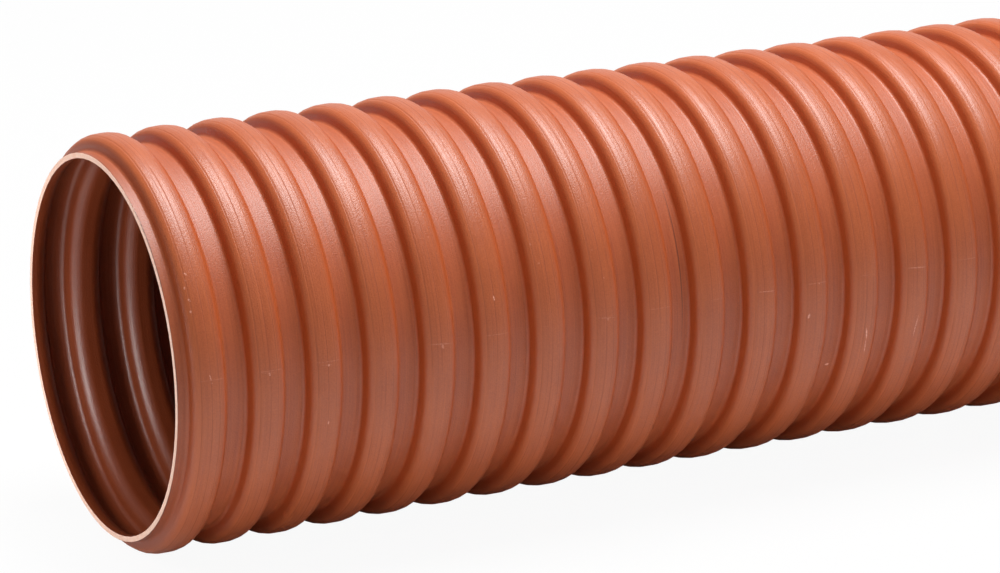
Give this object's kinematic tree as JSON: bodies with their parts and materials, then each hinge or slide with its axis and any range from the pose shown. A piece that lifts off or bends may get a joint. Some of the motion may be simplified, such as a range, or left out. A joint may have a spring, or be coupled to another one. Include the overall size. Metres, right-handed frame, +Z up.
{
  "type": "polypropylene riser pipe",
  "caption": "Corrugated round riser pipe with hollow ring ribs and a smooth-crested bore, cut square in the valleys at both ends, for lining an inspection shaft.",
  "frame": {"origin": "middle of the lowest line of the pipe, on the plane it lies on", "axes": "+X along the pipe, +Z up"},
  "size_m": [1.9938, 0.4758, 0.4758],
  "materials": {
    "polypropylene": "satin terracotta-brown polypropylene, as blown, with fine rings from the mould and a pale sawn edge at each end"
  },
  "bodies": {
    "root": {"riser_pipe": "polypropylene"}
  },
  "joints": []
}
